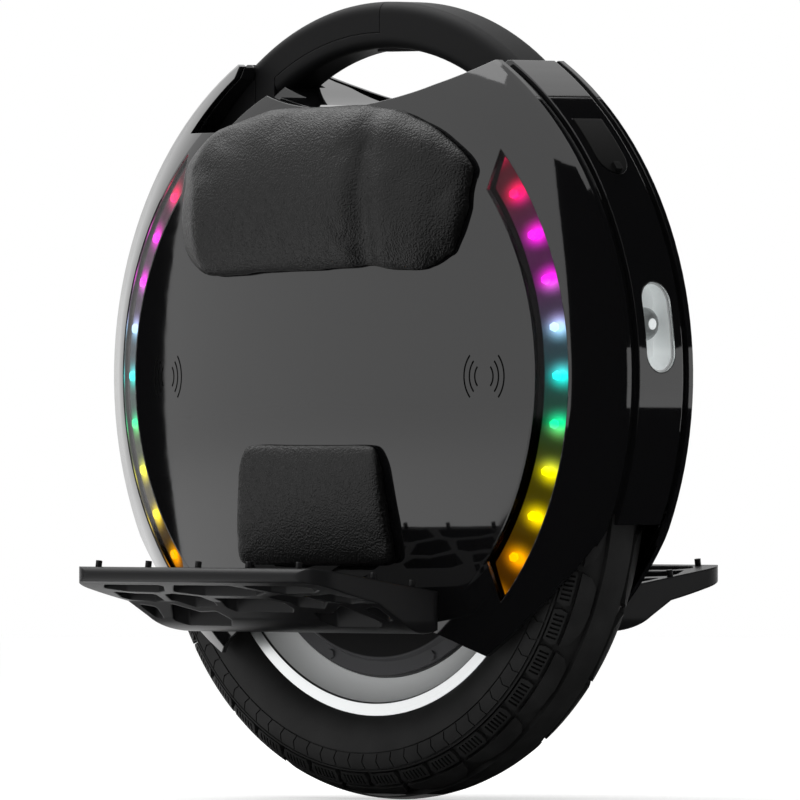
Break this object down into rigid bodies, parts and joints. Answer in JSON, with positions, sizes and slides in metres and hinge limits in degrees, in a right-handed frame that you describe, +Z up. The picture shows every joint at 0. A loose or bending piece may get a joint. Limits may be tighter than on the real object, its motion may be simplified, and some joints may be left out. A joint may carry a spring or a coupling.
{
  "type": "electric unicycle",
  "caption": "One-wheeled self-balancing vehicle with a round glossy shell, light strips, leg pads, folding pedals, a carry handle and a pull-out trolley handle.",
  "frame": {"origin": "on the ground under the middle of the axle, where the tyre touches", "axes": "+X forward, in the direction of travel; +Y to the left along the axle; +Z up"},
  "size_m": [0.486, 0.392, 0.5316],
  "materials": {
    "tyre_rubber": "black moulded rubber with a block tread",
    "rim_alloy": "machined bright alloy",
    "valve_brass": "dull brass with a black cap",
    "steel": "plain turned steel",
    "motor_casing": "black satin coated casting",
    "copper_wire": "enamelled copper wire",
    "shell_gloss": "high gloss black moulding",
    "smoked_lens": "smoky tinted clear plastic",
    "circuit_board": "dark solder mask",
    "led_glow": "lit diode windows in several colours",
    "handle_satin": "satin black moulding",
    "button_plastic": "satin dark moulding",
    "pole_alloy": "dark anodised alloy",
    "bracket_steel": "black coated forging",
    "pedal_coat": "matte black powder coat on cast alloy",
    "stud_steel": "blackened steel grub screws",
    "pad_leather": "black pebbled synthetic leather over foam",
    "lamp_clear": "clear moulded lens",
    "lamp_reflector": "bright metallised cup",
    "lamp_white": "frosted white diode dome",
    "lamp_red": "red moulded lens",
    "flap_rubber": "soft matte black rubber",
    "socket_plastic": "black moulding",
    "battery_wrap": "shrink wrapped cell pack"
  },
  "bodies": {
    "shell": {"axle": "steel", "axle_nuts": "steel", "charge_socket": "socket_plastic", "control_board": "circuit_board", "front_left_light_lens": "smoked_lens", "front_right_light_lens": "smoked_lens", "handle_arch": "handle_satin", "headlight_bulb": "lamp_white", "headlight_cup": "lamp_reflector", "headlight_lens": "lamp_clear", "heat_sink": "pole_alloy", "inner_frame": "shell_gloss", "led_boards": "circuit_board", "leds": "led_glow", "left_battery": "battery_wrap", "left_cover": "shell_gloss", "left_hinge_pin": "steel", "left_lower_pad": "pad_leather", "left_pedal_bracket": "bracket_steel", "left_speaker": "socket_plastic", "left_upper_pad": "pad_leather", "rear_left_light_lens": "smoked_lens", "rear_right_light_lens": "smoked_lens", "right_battery": "battery_wrap", "right_cover": "shell_gloss", "right_hinge_pin": "steel", "right_lower_pad": "pad_leather", "right_pedal_bracket": "bracket_steel", "right_speaker": "socket_plastic", "right_upper_pad": "pad_leather", "stator_core": "steel", "stator_windings": "copper_wire", "tail_light_bulb": "lamp_white", "tail_light_cup": "lamp_reflector", "tail_light_lens": "lamp_red"},
    "wheel": {"tyre": "tyre_rubber", "rim": "rim_alloy", "valve_stem": "valve_brass", "magnet_ring": "steel", "left_motor_cover": "motor_casing", "right_motor_cover": "motor_casing", "left_bearing": "steel", "right_bearing": "steel", "motor_cover_screws": "steel"},
    "left_pedal": {"left_pedal": "pedal_coat", "left_pedal_studs": "stud_steel"},
    "right_pedal": {"right_pedal": "pedal_coat", "right_pedal_studs": "stud_steel"},
    "trolley_tube": {"trolley_tube": "pole_alloy"},
    "trolley_grip": {"trolley_grip": "handle_satin", "trolley_bar": "pole_alloy"},
    "charge_flap": {"charge_flap": "flap_rubber"},
    "power_button": {"power_button": "button_plastic"},
    "lift_button": {"lift_button": "button_plastic"}
  },
  "joints": [
    {"name": "wheel_spin", "type": "hinge", "parent": "shell", "child": "wheel", "pos_m": [0, 0, 0.211], "axis": [0, 1, 0], "continuous": true},
    {"name": "left_pedal_fold", "type": "hinge", "parent": "shell", "child": "left_pedal", "pos_m": [0, 0.109, 0.1335], "axis": [1, 0, 0], "range_deg": [0, 76]},
    {"name": "right_pedal_fold", "type": "hinge", "parent": "shell", "child": "right_pedal", "pos_m": [0, -0.109, 0.1335], "axis": [-1, 0, 0], "range_deg": [0, 76]},
    {"name": "trolley_lower_slide", "type": "slide", "parent": "shell", "child": "trolley_tube", "axis": [0, 0, 1], "range_m": [0, 0.17]},
    {"name": "trolley_upper_slide", "type": "slide", "parent": "trolley_tube", "child": "trolley_grip", "axis": [0, 0, 1], "range_m": [0, 0.17]},
    {"name": "charge_flap_hinge", "type": "hinge", "parent": "shell", "child": "charge_flap", "pos_m": [0.17558, 0, 0.45243], "axis": [0, -1, 0], "range_deg": [0, 100]},
    {"name": "power_button_press", "type": "slide", "parent": "shell", "child": "power_button", "axis": [0.7804, 0, -0.6252], "range_m": [0, 0.002], "stiffness_N_per_m": 500},
    {"name": "lift_button_press", "type": "slide", "parent": "shell", "child": "lift_button", "axis": [0, 0, 1], "range_m": [0, 0.002], "stiffness_N_per_m": 500}
  ]
}
